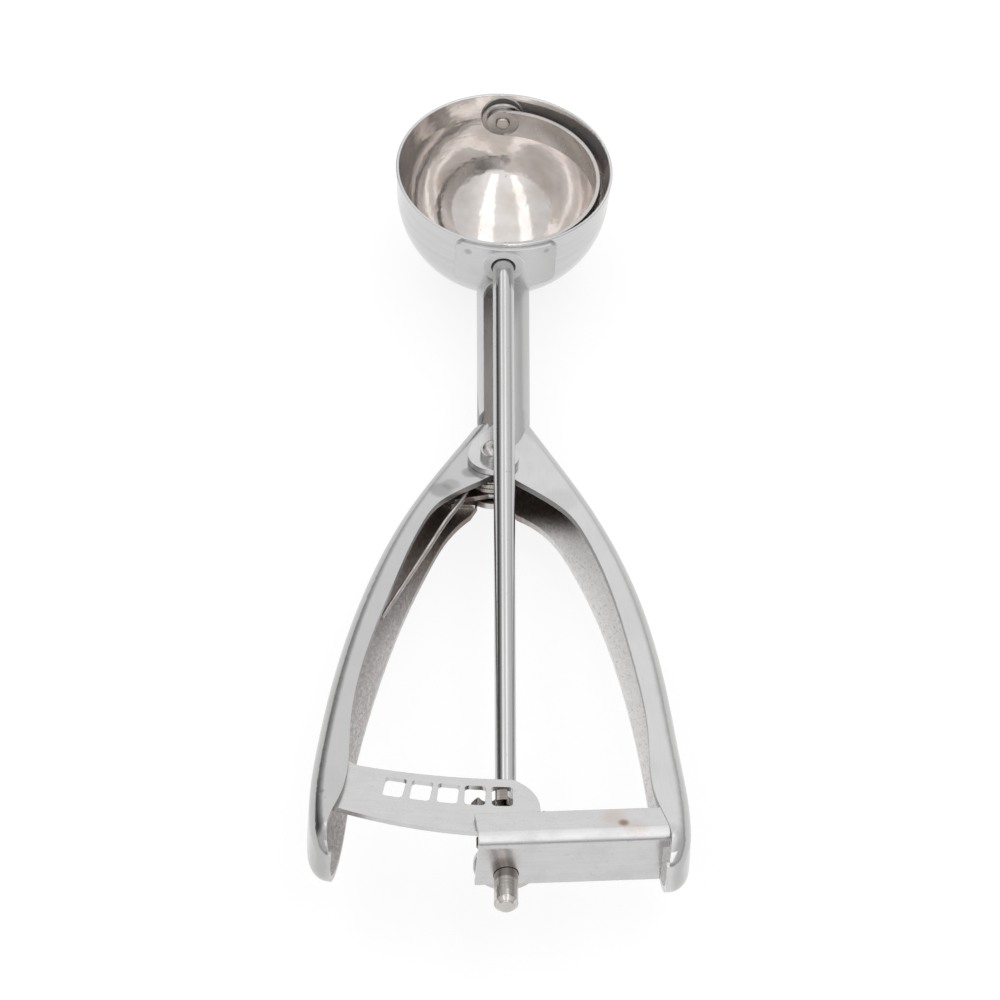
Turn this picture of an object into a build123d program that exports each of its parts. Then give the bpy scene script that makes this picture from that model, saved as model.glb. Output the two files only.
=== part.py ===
"""Lever ice cream scoop: bowl on a rolled neck, two trough handles, arc rack and star pinion.

The shaft lies along Y with the bowl at +Y, Z points out of the bowl's mouth, and the origin is
the centre of the bowl, on the shaft's axis. All sizes are millimetres and degrees.
"""
from build123d import *
import math
import os

os.makedirs("parts", exist_ok=True)

# bowl
bowl_radius = 20.0
bowl_wall = 0.6
rim_height = 5.2
rim_flare = 0.5

# shaft, scraper and its far pin
shaft_radius = 2.0
nose_radius = 1.3
running_gap = 0.06
press_gap = 0.01
face_gap = 0.05
scraper_thickness = 0.7
scraper_half_width = 3.0
seat_radius = 3.9
seat_thickness = 0.5
pin_radius = 1.0
pin_foot_radius = 2.4
pin_foot_height = 0.7
pin_head_radius = 1.35
nose_head_radius = 1.8
peened_height = 0.5

# rolled neck and the saddle that holds the bowl
sheet = 1.2
saddle_sheet = 0.9
weld_gap = 0.02
through = 30.0
saddle_left = 9.1
saddle_right = 9.9
saddle_top = 4.5
saddle_bottom = 6.6
saddle_corner = 1.6
saddle_fillet = 3.0
shaft_hole_radius = 2.3
saddle_ring_radius = 3.8
saddle_ring_height = 0.25
neck_radius = 4.95
neck_wall = 1.0
neck_height = -9.5
neck_x = 0.4
neck_start = -10.0
neck_end = -53.4
slot_start = -20.4
slot_left = 3.4
slot_right = 2.0
shoulder_fall = 10.0
shoulder_length = 12.5

# handles: a plane that climbs away from the bowl, square to the pivot
pivot_x = -1.75
pivot_y = -67.0
pivot_z = -5.9
handle_tilt = 7.9
depth_at_pivot = 7.85
depth_growth = 0.0504
edge_radius = 3.4
trough_top = 13.3
lever_top = 11.7
end_front = -113.0
end_back = -104.0
end_tip = -119.8
end_tip_depth = 6.0
run_out = 6.0
grip_reach = 60.0

# pivot
rivet_radius = 1.6
rivet_head_radius = 2.53
rivet_head_straight = 0.9
rivet_head_height = 2.3
rivet_foot_radius = 2.9
rivet_foot_height = 0.5
ear_radius = 4.85
inner_ear_radius = 3.8
swing_gap = 0.3
ear_gap = 0.08
bush_radius = 3.3
tab_lift = 0.4
tab_sheet = 1.0
jog_half = 0.6
jog_outline = [(-3.2, 6.2), (-5.4, 6.2), (-10.2, -4.6), (-7.6, -6.2), (-3.2, -6.2)]
tab_outline = [(-0.5, 3.7), (-3.4, 5.6), (-5.4, 6.0), (-10.0, -4.2), (-7.0, -5.8), (-0.5, -3.7)]
tongue_outline = [(-4.6, 1.5), (-4.0, 3.8), (-2.9, 5.9), (0.3, 9.8), (1.6, 13.3)]

# return spring
spring_wire = 0.95
spring_radius = 4.8
spring_pitch = 1.0
spring_clearance = 0.12
samples_per_turn = 8
spring_turns = 2
right_leg_angle = 48.6
right_leg_length = 14.6
left_leg_drop = 2.2
left_leg_start = (-5.1, -7.6)
left_leg_foot = (-21.2, -45.0)
left_leg_samples = 5

# rack, pinion and housing
hole_count = 5
hole_pitch = 5.05
hole_width = 3.9
hole_length = 5.9
hole_corner = 0.8
rack_radius = 102.5
rack_inner = 5.2
rack_outer = 11.3
rack_foot = 9.1
rack_start = -30.6
rack_thickness = 1.0
rack_rest_lag = 1.0
tooth_count = 8
star_radius = 7.6
gullet_radius = 1.7
gullet_centre = 6.9
star_thickness = 2.5
stop_flat_start = 1.5
stop_flat_height = 5.6
hub_radius = 3.4
hub_length = 9.25
shaft_socket = 8.0
tail_radius = 2.28
tail_length = 10.5
tail_chamfer = 0.9
tail_hole_gap = 0.1
washer_radius = 6.1
washer_thickness = 1.0
housing_sheet = 1.0
housing_bend = 2.2
housing_yaw = 6.2
housing_left = -3.6
housing_beyond = 15.4
housing_top_width = 8.3
housing_below_tail = 0.6
housing_lean = 3.0
rack_slide_gap = 0.15

# derived planes and places
tilt_sin = math.sin(math.radians(handle_tilt))
tilt_cos = math.cos(math.radians(handle_tilt))
back_slope = math.atan(depth_growth)
handle_plane = Plane(
    origin=(pivot_x, pivot_y, pivot_z), x_dir=(1, 0, 0), z_dir=(0, tilt_sin, tilt_cos)
)
back_normal = handle_plane.z_dir * math.cos(back_slope) - handle_plane.y_dir * math.sin(back_slope)
shaft_u = -pivot_x
inner_radius = bowl_radius - bowl_wall
seat_back = math.sqrt(inner_radius ** 2 - seat_radius ** 2) - weld_gap
seat_front = seat_back - seat_thickness
scraper_radius = seat_front - face_gap
scraper_inside = scraper_radius - scraper_thickness
pitch_radius = tooth_count * hole_pitch / (2 * math.pi)
hole_step = math.degrees(hole_pitch / rack_radius)
rest_hole_angle = math.degrees(math.asin(shaft_u / rack_radius) - rack_rest_lag / rack_radius)
rest_tooth_angle = math.degrees(rack_rest_lag / pitch_radius)
rack_top = -sheet
star_near = pivot_y - (rack_radius - star_thickness / 2) * tilt_cos + rack_top * tilt_sin
star_far = star_near - star_thickness
washer_back = star_far - hub_length - washer_thickness
tail_end = washer_back - tail_length
housing_top = rack_top + rack_slide_gap + housing_sheet
housing_far = -rack_radius - housing_beyond
tail_depth = housing_top + pivot_z * tilt_cos - (washer_back - pivot_y) * tilt_sin
housing_depth = tail_depth + tail_radius + tail_hole_gap + housing_below_tail
front_back_split = 0.45 * depth_at_pivot
ear_cut = inner_ear_radius + swing_gap
ring_cut = ear_radius + swing_gap
far_end = end_tip - run_out
side_plane = Plane(
    origin=(pivot_x, pivot_y, pivot_z), x_dir=(0, tilt_cos, -tilt_sin), z_dir=(1, 0, 0)
)

# handle outlines, in the handle plane: web side, then the edges of the front and back plates
fixed_outer_points = [
    (7.5, 13.3), (18.7, -11.6), (26.7, -36.6), (31.3, -61.5), (34.1, -86.5), (35.9, -108.0),
    (34.8, -117.0), (32.2, -121.8),
]
fixed_front_points = [
    (31.8, -119.0), (31.8, -112.0), (29.6, -104.0), (28.1, -83.4), (25.6, -61.1), (21.5, -38.4),
    (17.2, -23.0), (13.7, -15.4), (9.0, -10.2), (4.3, -6.1),
]
fixed_back_points = [
    (31.4, -119.0), (30.2, -108.0), (27.9, -84.0), (24.8, -61.0), (20.2, -39.0), (14.6, -21.4),
    (10.6, -13.2), (4.7, -7.7),
]
lever_outer_points = [
    (-4.0, 11.8), (-15.8, -12.8), (-24.1, -37.5), (-29.7, -62.1), (-33.5, -86.8),
    (-35.2, -108.0), (-34.0, -117.2), (-31.6, -121.9),
]
lever_front_points = [
    (-31.7, -119.0), (-31.7, -112.2), (-29.6, -105.4), (-27.4, -83.3), (-24.4, -61.2),
    (-19.0, -39.1), (-13.4, -20.0), (-10.2, -13.5), (-6.7, -9.9), (-2.4, -6.5),
]
lever_back_points = [
    (-31.2, -119.0), (-29.0, -108.0), (-26.4, -85.5), (-22.3, -61.9), (-16.6, -38.4),
    (-11.7, -23.0), (-8.2, -14.3), (-4.0, -8.1),
]


def polar(radius, angle):
    """A point of the handle plane seen from the pivot, at an angle from straight down the grip."""
    return (radius * math.sin(math.radians(angle)), -radius * math.cos(math.radians(angle)))


def depth_at(v):
    """Depth of the troughs at a place along the handle plane."""
    return depth_at_pivot - depth_growth * v


def extended(points):
    """The same outline carried on straight past both of its ends."""
    (x0, y0), (x1, y1) = points[0], points[1]
    (x2, y2), (x3, y3) = points[-1], points[-2]
    first = run_out / math.hypot(x0 - x1, y0 - y1)
    last = run_out / math.hypot(x2 - x3, y2 - y3)
    start = (x0 + (x0 - x1) * first, y0 + (y0 - y1) * first)
    end = (x2 + (x2 - x3) * last, y2 + (y2 - y3) * last)
    return [start] + list(points) + [end]


def parallel(points, distance):
    """The outline moved sideways by a distance, to the left of its own direction."""
    moved = []
    for i in range(len(points)):
        (xa, ya), (xb, yb) = points[max(i - 1, 0)], points[min(i + 1, len(points) - 1)]
        length = math.hypot(xb - xa, yb - ya)
        moved.append(
            (points[i][0] - (yb - ya) / length * distance,
             points[i][1] + (xb - xa) / length * distance)
        )
    return moved


def level(height):
    """The handle plane raised along its own normal."""
    return handle_plane.offset(height)


def back_level(height):
    """The plane of the troughs' backs, raised towards the front."""
    origin = handle_plane.from_local_coords(Vector(0, 0, -depth_at_pivot + height))
    return Plane(origin=origin, x_dir=(1, 0, 0), z_dir=back_normal)


def trough_solid(points, inset, side):
    """One trough as a full-width block: web side and end shaped, mouth side left long."""
    curve = extended(parallel(points, side * inset))
    reach = side * (grip_reach / 2 + inset)
    top = trough_top + 2 * run_out
    radius = min(edge_radius, 0.49 * depth_at(trough_top + run_out)) - inset
    with BuildPart() as block:
        with BuildSketch(level(-inset)):
            with BuildLine():
                Spline(*curve)
                Polyline(curve[-1], (reach, curve[-1][1]), (reach, curve[0][1]), curve[0])
            make_face()
        extrude(amount=-3 * depth_at_pivot)
        with BuildSketch(side_plane.offset(-grip_reach)):
            with BuildLine():
                front = (end_front, -inset)
                back = (end_back, inset - depth_at(end_back))
                Line((top, -inset), front)
                Spline(
                    front, (end_tip + inset, -end_tip_depth), back,
                    tangents=[(-1, 0), (1, depth_growth)],
                )
                Polyline(back, (top, inset - depth_at(top)), (top, -inset))
            make_face()
        extrude(amount=2 * grip_reach, mode=Mode.INTERSECT)
        web_edges = edges().filter_by(
            lambda e: e.geom_type != GeomType.LINE and e.center().X * side < 0
        )
        fillet(web_edges, radius)
    return block.part


fixed_outside = trough_solid(fixed_outer_points, 0, -1)
fixed_inside = trough_solid(fixed_outer_points, sheet, -1)
lever_outside = trough_solid(lever_outer_points, 0, 1)
lever_inside = trough_solid(lever_outer_points, sheet, 1)

# where each handle's sheet is trimmed: front plate and back plate have their own inner edges
plate_corner = polar(ear_cut, 34.0)
ear_corner = polar(inner_ear_radius, 12.0)
ear_top = (0.8, math.sqrt(inner_ear_radius ** 2 - 0.64))
strip_left = 2.5
strip_right = slot_right + shaft_u + 0.15
strip_foot = (strip_left, math.sqrt(ear_cut ** 2 - strip_left ** 2))


def fixed_trim(points, height, amount):
    """The fixed handle's side of one plate's inner edge, over a range of heights."""
    with BuildPart() as block:
        with BuildSketch(level(height)):
            with BuildLine():
                Line((points[0][0], far_end), points[0])
                Spline(*points)
                Line(points[-1], plate_corner)
                ThreePointArc(plate_corner, (ear_cut, 0), strip_foot)
                Polyline(
                    strip_foot, (strip_left, trough_top), (grip_reach, trough_top),
                    (grip_reach, far_end), (points[0][0], far_end),
                )
            make_face()
        extrude(amount=-amount)
    return block.part


fixed_side = fixed_trim(
    fixed_front_points, depth_at_pivot, depth_at_pivot + front_back_split
) + fixed_trim(fixed_back_points, -front_back_split, 3 * depth_at_pivot)

with BuildPart() as lever_front_trim:
    with BuildSketch(level(depth_at_pivot)):
        with BuildLine():
            far_corner = (lever_front_points[0][0], far_end)
            Line(far_corner, lever_front_points[0])
            Spline(*lever_front_points)
            Line(lever_front_points[-1], ear_corner)
            ThreePointArc(ear_corner, (inner_ear_radius, 0), ear_top)
            Polyline(
                ear_top, (-0.9, lever_top), (-grip_reach, lever_top), (-grip_reach, far_end),
                far_corner,
            )
        make_face()
    extrude(amount=-depth_at_pivot - front_back_split)

with BuildPart() as lever_back_trim:
    with BuildSketch(level(-front_back_split)):
        with BuildLine():
            far_corner = (lever_back_points[0][0], far_end)
            Line(far_corner, lever_back_points[0])
            Spline(*lever_back_points)
            Polyline(
                lever_back_points[-1], (-2.7, -5.2), (-2.7, lever_top), (-grip_reach, lever_top),
                (-grip_reach, far_end), far_corner,
            )
        make_face()
    extrude(amount=-3 * depth_at_pivot)

# saddle and neck, kept apart until the fixed handle takes them
bowl_envelope = bowl_radius + weld_gap
with BuildPart() as saddle:
    with BuildSketch(Plane.YZ):
        with BuildLine():
            outer_top = (-(bowl_envelope + saddle_sheet + rim_flare), rim_height)
            inner_top = (-(bowl_envelope + rim_flare), rim_height)
            Line(inner_top, (-bowl_envelope, 0))
            ThreePointArc(
                (-bowl_envelope, 0),
                (-bowl_envelope * math.cos(0.5), -bowl_envelope * math.sin(0.5)),
                (0, -bowl_envelope),
            )
            Line((0, -bowl_envelope), (0, -bowl_envelope - saddle_sheet))
            ThreePointArc(
                (0, -bowl_envelope - saddle_sheet),
                (-(bowl_envelope + saddle_sheet) * math.cos(0.5),
                 -(bowl_envelope + saddle_sheet) * math.sin(0.5)),
                (-bowl_envelope - saddle_sheet, 0),
            )
            Line((-bowl_envelope - saddle_sheet, 0), outer_top)
            Line(outer_top, inner_top)
        make_face()
    revolve(axis=Axis.Z)
    with BuildSketch(Plane.XZ):
        with BuildLine():
            Polyline(
                (-saddle_left, saddle_top), (saddle_right, saddle_top),
                (saddle_right, -saddle_bottom), (neck_x + neck_radius, -saddle_bottom),
                (neck_x + neck_radius, neck_height), (neck_x - neck_radius, neck_height),
                (neck_x - neck_radius, -saddle_bottom), (-saddle_left, -saddle_bottom),
                (-saddle_left, saddle_top),
            )
        make_face()
        fillet(
            vertices().filter_by(lambda p: p.Y > 0 or abs(p.X) > neck_radius + 1),
            saddle_corner,
        )
        fillet(
            vertices().filter_by(
                lambda p: abs(abs(p.X - neck_x) - neck_radius) < 0.01
                and abs(p.Y + saddle_bottom) < 0.01
            ),
            saddle_fillet * 0.45,
        )
        with Locations((neck_x, neck_height)):
            Circle(neck_radius)
    extrude(amount=2 * bowl_envelope, mode=Mode.INTERSECT)
    with BuildSketch(Plane.XZ.offset(bowl_envelope - 1)):
        Circle(saddle_ring_radius)
    extrude(amount=1 + saddle_sheet + saddle_ring_height)
    with BuildSketch(Plane.XZ.offset(bowl_radius / 2)):
        Circle(shaft_hole_radius)
    extrude(amount=through, mode=Mode.SUBTRACT)

with BuildPart() as neck:
    with BuildSketch(Plane.XZ.offset(-neck_start)):
        with Locations((neck_x, neck_height)):
            Circle(neck_radius)
            Circle(neck_radius - neck_wall, mode=Mode.SUBTRACT)
    extrude(amount=neck_start - neck_end)
    with BuildSketch(Plane.XY):
        with Locations(((slot_right - slot_left) / 2, (slot_start + neck_end) / 2 - 5)):
            Rectangle(slot_right + slot_left, slot_start - neck_end + 10)
        fillet(vertices().group_by(Axis.Y)[-1], 2.0)
    extrude(amount=neck_height, mode=Mode.SUBTRACT)

# the tube's wall beside the shaft runs on and sinks into the front plate
with BuildPart() as shoulder:
    with BuildSketch(Plane.XZ.offset(-neck_end)):
        with Locations((neck_x, neck_height)):
            Circle(neck_radius)
            Circle(neck_radius - neck_wall, mode=Mode.SUBTRACT)
        with Locations((slot_right - 2 * neck_radius, neck_height)):
            Rectangle(4 * neck_radius, 4 * neck_radius, mode=Mode.SUBTRACT)
    fall = math.radians(shoulder_fall)
    extrude(amount=shoulder_length, dir=(0, -math.cos(fall), -math.sin(fall)))
    split(bisect_by=level(-sheet), keep=Keep.TOP)

# bowl envelope used to shape everything that touches the bowl from outside
with BuildPart() as bowl_keepout:
    with BuildSketch(Plane.XZ):
        with BuildLine():
            ThreePointArc(
                (0, -bowl_envelope),
                (bowl_envelope * math.sin(0.8), -bowl_envelope * math.cos(0.8)),
                (bowl_envelope, 0),
            )
            Polyline(
                (bowl_envelope, 0), (bowl_envelope + rim_flare, rim_height),
                (bowl_envelope + rim_flare, 12), (0, 12), (0, -bowl_envelope),
            )
        make_face()
    revolve(axis=Axis.Z)

with BuildPart() as fixed_handle:
    add(fixed_outside)
    add(fixed_inside, mode=Mode.SUBTRACT)
    add(fixed_side, mode=Mode.INTERSECT)
    with BuildSketch(back_level(0)):
        with BuildLine():
            Polyline(
                (-2.0, 2.0), (-2.0, trough_top + 0.4), (5.5, trough_top + 0.4), (5.5, 2.0),
                (-2.0, 2.0),
            )
        make_face()
    extrude(amount=sheet)
    with BuildSketch(level(-depth_at_pivot)):
        Circle(ear_radius)
    extrude(amount=sheet)
    add(shoulder.part)
    with BuildSketch(level(-depth_at_pivot + sheet)):
        Circle(ear_cut)
    extrude(amount=depth_at_pivot - sheet + ear_gap, mode=Mode.SUBTRACT)
    with BuildSketch(level(-sheet)):
        Circle(ear_radius)
        Circle(ear_cut, mode=Mode.SUBTRACT)
        with BuildLine():
            Polyline(
                (0, 0), (12 * math.sin(math.radians(34)), -12 * math.cos(math.radians(34))),
                (12, -8), (12, 3), (strip_left, 3), (0, 0),
            )
        make_face(mode=Mode.INTERSECT)
    extrude(amount=2 * sheet + ear_gap)
    with BuildSketch(level(-sheet)):
        with BuildLine():
            Polyline(
                strip_foot, (strip_left, trough_top), (strip_right, trough_top),
                (strip_right, 1.5), (strip_left + 0.8, 2.4), strip_foot,
            )
        make_face()
    extrude(amount=2 * sheet + ear_gap)
    with BuildSketch(level(ear_gap)):
        Circle(ear_radius)
        with BuildLine():
            Polyline(
                *tongue_outline, (strip_right, trough_top), (strip_right, tongue_outline[0][1]),
                tongue_outline[0],
            )
        make_face()
    extrude(amount=sheet)
    add(neck.part)
    add(saddle.part)
    add(bowl_keepout.part, mode=Mode.SUBTRACT)
    with BuildSketch(level(-2 * depth_at_pivot)):
        Circle(rivet_radius + press_gap)
    extrude(amount=through, mode=Mode.SUBTRACT)
    with BuildSketch(Plane.XZ.offset(bowl_radius / 2)):
        Circle(shaft_hole_radius)
    extrude(amount=-neck_end, mode=Mode.SUBTRACT)
fixed_handle.part.label = "fixed_handle"
export_step(fixed_handle.part, "parts/fixed_handle.step")

with BuildPart() as lever_handle:
    add(lever_outside)
    add(lever_inside, mode=Mode.SUBTRACT)
    add(lever_front_trim.part + lever_back_trim.part, mode=Mode.INTERSECT)
    with BuildSketch(level(-3 * depth_at_pivot)):
        Circle(ring_cut)
    extrude(amount=2 * depth_at_pivot + sheet + tab_lift, mode=Mode.SUBTRACT)
    with BuildSketch(level(-depth_at_pivot + sheet - jog_half)):
        with BuildLine():
            Polyline(*jog_outline, jog_outline[0])
        make_face()
        Circle(ring_cut, mode=Mode.SUBTRACT)
    extrude(amount=2 * jog_half)
    with BuildSketch(level(-depth_at_pivot + tab_lift + sheet)):
        with BuildLine():
            Polyline(*tab_outline, tab_outline[0])
        make_face()
        Circle(inner_ear_radius)
    extrude(amount=tab_sheet)
    with BuildSketch(level(-2 * depth_at_pivot)):
        Circle(rivet_radius + running_gap)
    extrude(amount=through, mode=Mode.SUBTRACT)
lever_handle.part.label = "lever_handle"
export_step(lever_handle.part, "parts/lever_handle.step")

with BuildPart() as bowl:
    with BuildSketch(Plane.XZ):
        with BuildLine():
            ThreePointArc(
                (0, -bowl_radius),
                (bowl_radius * math.sin(0.8), -bowl_radius * math.cos(0.8)),
                (bowl_radius, 0),
            )
            Polyline(
                (bowl_radius, 0), (bowl_radius + rim_flare, rim_height),
                (inner_radius + rim_flare, rim_height), (inner_radius, 0),
            )
            ThreePointArc(
                (inner_radius, 0),
                (inner_radius * math.sin(0.8), -inner_radius * math.cos(0.8)),
                (0, -inner_radius),
            )
            Line((0, -inner_radius), (0, -bowl_radius))
        make_face()
    revolve(axis=Axis.Z)
    with BuildSketch(Plane.XZ.offset(bowl_radius / 2)):
        Circle(shaft_radius + running_gap)
    extrude(amount=through, mode=Mode.SUBTRACT)
    with BuildSketch(Plane.XZ.offset(-bowl_radius / 2)):
        Circle(pin_radius + press_gap)
    extrude(amount=-through, mode=Mode.SUBTRACT)
    fillet(edges().group_by(Axis.Z)[-1], 0.2)
bowl.part.label = "bowl"
export_step(bowl.part, "parts/bowl.step")

with BuildPart() as near_washer:
    with BuildSketch(Plane.XZ.offset(seat_front)):
        Circle(seat_radius)
        Circle(shaft_radius + running_gap, mode=Mode.SUBTRACT)
    extrude(amount=seat_thickness)
near_washer.part.label = "near_washer"
export_step(near_washer.part, "parts/near_washer.step")

with BuildPart() as far_washer:
    with BuildSketch(Plane.XZ.offset(-seat_back)):
        Circle(seat_radius)
        Circle(pin_radius + press_gap, mode=Mode.SUBTRACT)
    extrude(amount=seat_thickness)
far_washer.part.label = "far_washer"
export_step(far_washer.part, "parts/far_washer.step")

# the scraper is a ball-shaped strip with a flat eye at each end
with BuildPart() as scraper:
    with BuildSketch(Plane.XZ):
        with BuildLine():
            ThreePointArc(
                (0, -scraper_radius),
                (scraper_radius, 0),
                (0, scraper_radius),
            )
            Line((0, scraper_radius), (0, scraper_inside))
            ThreePointArc((0, scraper_inside), (scraper_inside, 0), (0, -scraper_inside))
            Line((0, -scraper_inside), (0, -scraper_radius))
        make_face()
    revolve(axis=Axis.Z)
    with BuildSketch(Plane.XY.offset(-scraper_half_width)):
        with Locations((bowl_radius / 2, 0)):
            Rectangle(bowl_radius, 2 * bowl_radius)
    extrude(amount=2 * scraper_half_width, mode=Mode.INTERSECT)
    with BuildSketch(Plane.XZ.offset(-scraper_inside)):
        Circle(scraper_half_width)
    extrude(amount=2 * scraper_inside, mode=Mode.SUBTRACT)
    with BuildSketch(Plane.XZ.offset(scraper_inside)):
        Circle(scraper_half_width)
    extrude(amount=scraper_thickness)
    with BuildSketch(Plane.XZ.offset(-scraper_radius)):
        Circle(scraper_half_width)
    extrude(amount=scraper_thickness)
    with BuildSketch(Plane.XZ.offset(bowl_radius / 2)):
        Circle(nose_radius + press_gap)
    extrude(amount=through, mode=Mode.SUBTRACT)
    with BuildSketch(Plane.XZ.offset(-bowl_radius / 2)):
        Circle(pin_radius + running_gap)
    extrude(amount=-through, mode=Mode.SUBTRACT)
scraper.part.label = "scraper"
export_step(scraper.part, "parts/scraper.step")

pin_foot = bowl_radius + rim_flare * pin_foot_radius / rim_height + weld_gap
with BuildPart() as scraper_pin:
    with BuildSketch(Plane.XZ.offset(-pin_foot - pin_foot_height)):
        Circle(pin_foot_radius)
    extrude(amount=pin_foot_height)
    fillet(edges().group_by(Axis.Y)[-1], pin_foot_height * 0.7)
    with BuildSketch(Plane.XZ.offset(-pin_foot - 0.1)):
        Circle(pin_radius)
    extrude(amount=pin_foot + 0.1 - scraper_inside + face_gap + 0.1)
    with BuildSketch(Plane.XZ.offset(-scraper_inside + face_gap)):
        Circle(pin_head_radius)
    extrude(amount=peened_height)
    fillet(edges().group_by(Axis.Y)[0], peened_height * 0.6)
scraper_pin.part.label = "scraper_pin"
export_step(scraper_pin.part, "parts/scraper_pin.step")

socket_end = star_near - shaft_socket
with BuildPart() as shaft:
    with BuildSketch(Plane.XZ.offset(scraper_radius)):
        Circle(shaft_radius)
    extrude(amount=-socket_end - scraper_radius)
    with BuildSketch(Plane.XZ.offset(scraper_inside - 0.1)):
        Circle(nose_radius)
    extrude(amount=scraper_thickness + 0.2)
    with BuildSketch(Plane.XZ.offset(scraper_inside - 0.02 - peened_height)):
        Circle(nose_head_radius)
    extrude(amount=peened_height)
    fillet(edges().group_by(Axis.Y)[-1], peened_height * 0.6)
shaft.part.label = "shaft"
export_step(shaft.part, "parts/shaft.step")

# star pinion: round gullets cut in a disc, one tooth leaning into the rack at rest, and a flat
# on the idle tooth that lies under the rack's plain end
with BuildPart() as pinion:
    with BuildSketch(Plane.XZ.offset(-star_near)):
        Circle(star_radius)
        with PolarLocations(
            gullet_centre, tooth_count, 90 + rest_tooth_angle + 180 / tooth_count, 360
        ):
            Circle(gullet_radius, mode=Mode.SUBTRACT)
        fillet(vertices(), 0.3)
        with Locations((stop_flat_start + star_radius / 2, stop_flat_height + star_radius / 2)):
            Rectangle(star_radius, star_radius, mode=Mode.SUBTRACT)
    extrude(amount=star_thickness)
    with BuildSketch(Plane.XZ.offset(-star_far - 0.1)):
        Circle(hub_radius)
    extrude(amount=star_far - washer_back - washer_thickness + 0.1)
    with BuildSketch(Plane.XZ.offset(-star_far)):
        Circle(tail_radius)
    extrude(amount=star_far - tail_end)
    chamfer(edges().group_by(Axis.Y)[0], tail_chamfer)
    with BuildSketch(Plane.XZ.offset(-star_near)):
        Circle(shaft_radius + press_gap)
    extrude(amount=shaft_socket + 0.02, mode=Mode.SUBTRACT)
pinion.part.label = "pinion"
export_step(pinion.part, "parts/pinion.step")

with BuildPart() as thrust_washer:
    with BuildSketch(Plane.XZ.offset(-washer_back - washer_thickness + 0.02)):
        Circle(washer_radius)
        Circle(tail_radius + press_gap, mode=Mode.SUBTRACT)
    extrude(amount=washer_thickness - 0.02)
thrust_washer.part.label = "thrust_washer"
export_step(thrust_washer.part, "parts/thrust_washer.step")

with BuildPart() as pivot_rivet:
    with BuildSketch(level(-depth_at_pivot - rivet_foot_height)):
        Circle(rivet_foot_radius)
    extrude(amount=rivet_foot_height - 0.02)
    with BuildSketch(level(-depth_at_pivot - 0.1)):
        Circle(rivet_radius)
    extrude(amount=depth_at_pivot + ear_gap + sheet + 0.2)
    with BuildSketch(level(ear_gap + sheet + 0.02)):
        Circle(rivet_head_radius)
    extrude(amount=rivet_head_height)
    fillet(
        edges().filter_by(GeomType.CIRCLE).group_by(SortBy.RADIUS)[1].sort_by(Axis.Z)[-1],
        rivet_head_height - rivet_head_straight,
    )
pivot_rivet.part.label = "pivot_rivet"
export_step(pivot_rivet.part, "parts/pivot_rivet.step")

bush_foot = -depth_at_pivot + tab_lift + sheet + tab_sheet + face_gap
with BuildPart() as pivot_bush:
    with BuildSketch(level(bush_foot)):
        Circle(bush_radius)
        Circle(rivet_radius + press_gap, mode=Mode.SUBTRACT)
    extrude(amount=-sheet - face_gap - bush_foot)
pivot_bush.part.label = "pivot_bush"
export_step(pivot_bush.part, "parts/pivot_bush.step")

# the spring's wire: right leg up from the web, the coil, then the left leg down the lever
coil_turn = 360.0 * spring_turns + 180.0 - right_leg_angle
coil_top = -sheet - spring_wire / 2 - spring_clearance
coil_foot = coil_top - spring_pitch * coil_turn / 360.0
coil_samples = round(samples_per_turn * coil_turn / 360.0)
wire_points = []
for share in (2, 1):
    reach = right_leg_length * share / 2
    turn = math.radians(right_leg_angle)
    wire_points.append((
        spring_radius * math.cos(turn) + reach * math.sin(turn),
        spring_radius * math.sin(turn) - reach * math.cos(turn), coil_foot,
    ))
for i in range(coil_samples + 1):
    share = i / coil_samples
    turn = math.radians(right_leg_angle + coil_turn * share)
    wire_points.append((
        spring_radius * math.cos(turn), spring_radius * math.sin(turn),
        coil_foot + (coil_top - coil_foot) * share,
    ))
for i in range(left_leg_samples + 1):
    share = i / left_leg_samples
    wire_points.append((
        left_leg_start[0] + (left_leg_foot[0] - left_leg_start[0]) * share,
        left_leg_start[1] + (left_leg_foot[1] - left_leg_start[1]) * share,
        coil_top - left_leg_drop * share,
    ))
with BuildPart() as return_spring:
    with BuildLine(handle_plane) as wire_path:
        Spline(*wire_points)
    with BuildSketch(Plane(origin=wire_path.line @ 0, z_dir=wire_path.line % 0)):
        Circle(spring_wire / 2)
    sweep(path=wire_path.line)
return_spring.part.label = "return_spring"
export_step(return_spring.part, "parts/return_spring.step")

# arc rack with its row of windows, welded under the lever's front plate
with BuildPart() as rack:
    with BuildSketch(level(rack_top - rack_thickness)):
        with BuildLine():
            flare = polar(rack_radius - 7.0, -17.24)
            root = polar(rack_radius - rack_inner + 0.6, -15.1)
            nose = polar(rack_radius - rack_inner, 1.6)
            shoulder_point = polar(rack_radius + 2.4, 4.21)
            toe = polar(rack_radius + rack_outer - 2.6, 4.23)
            heel = polar(rack_radius + rack_outer, 3.05)
            foot = polar(rack_radius + rack_foot, -15.6)
            Line((rack_start, flare[1] + 0.4), flare)
            ThreePointArc(flare, polar(rack_radius - rack_inner, -16.3), root)
            ThreePointArc(root, polar(rack_radius - rack_inner + 0.2, -7.0), nose)
            ThreePointArc(nose, polar(rack_radius - 2.4, 3.32), shoulder_point)
            Line(shoulder_point, toe)
            ThreePointArc(toe, polar(rack_radius + rack_outer - 1.0, 4.02), heel)
            ThreePointArc(heel, polar(rack_radius + rack_outer - 0.5, -6.5), foot)
            Polyline(foot, (rack_start, foot[1] + 0.2), (rack_start, flare[1] + 0.4))
        make_face()
        for k in range(hole_count):
            hole = rest_hole_angle - k * hole_step
            with Locations(Location((*polar(rack_radius, hole), 0), (0, 0, hole))):
                RectangleRounded(hole_width, hole_length, hole_corner, mode=Mode.SUBTRACT)
    extrude(amount=rack_thickness - 0.02)
rack.part.label = "rack"
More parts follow.
